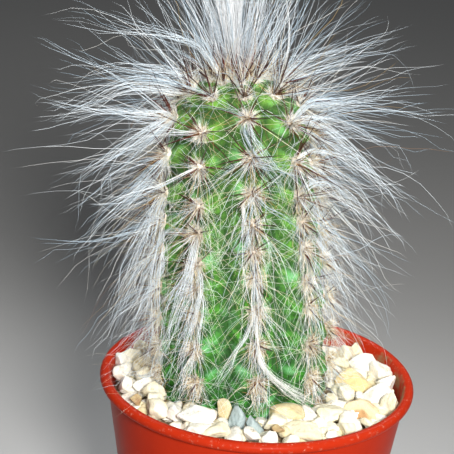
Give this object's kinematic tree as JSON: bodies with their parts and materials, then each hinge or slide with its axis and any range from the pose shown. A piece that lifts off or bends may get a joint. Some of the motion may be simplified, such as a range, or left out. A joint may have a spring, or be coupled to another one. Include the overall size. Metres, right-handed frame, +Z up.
{
  "type": "potted oreocereus",
  "caption": "Columnar cactus with ribs, dark spines, long white hair and a crown tuft, in a round plastic pot of soil topped with pale gravel.",
  "frame": {"origin": "centre of the pot's flat base, on the surface that it stands on", "axes": "+Z up through the pot, and -Y towards the side seen in the picture"},
  "size_m": [0.1431, 0.14, 0.2424],
  "materials": {
    "pot": "gloss",
    "soil": "matte",
    "gravel": "matte",
    "slate": "matte",
    "ochre": "matte",
    "stained": "matte",
    "stem": "satin",
    "hair": "satin",
    "silk": "satin"
  },
  "bodies": {
    "root": {"pot": "pot", "soil": "soil", "gravel": "gravel", "slate_stone_left": "slate", "slate_stone_right": "slate", "ochre_stone": "ochre", "stained_stone": "stained", "stem": "stem", "areole_row_1": "hair", "areole_row_2": "hair", "areole_row_3": "hair", "areole_row_4": "hair", "areole_row_5": "hair", "areole_row_6": "hair", "areole_row_7": "hair", "areole_row_8": "hair", "areole_row_9": "hair", "crown_tuft": "silk"}
  },
  "joints": []
}
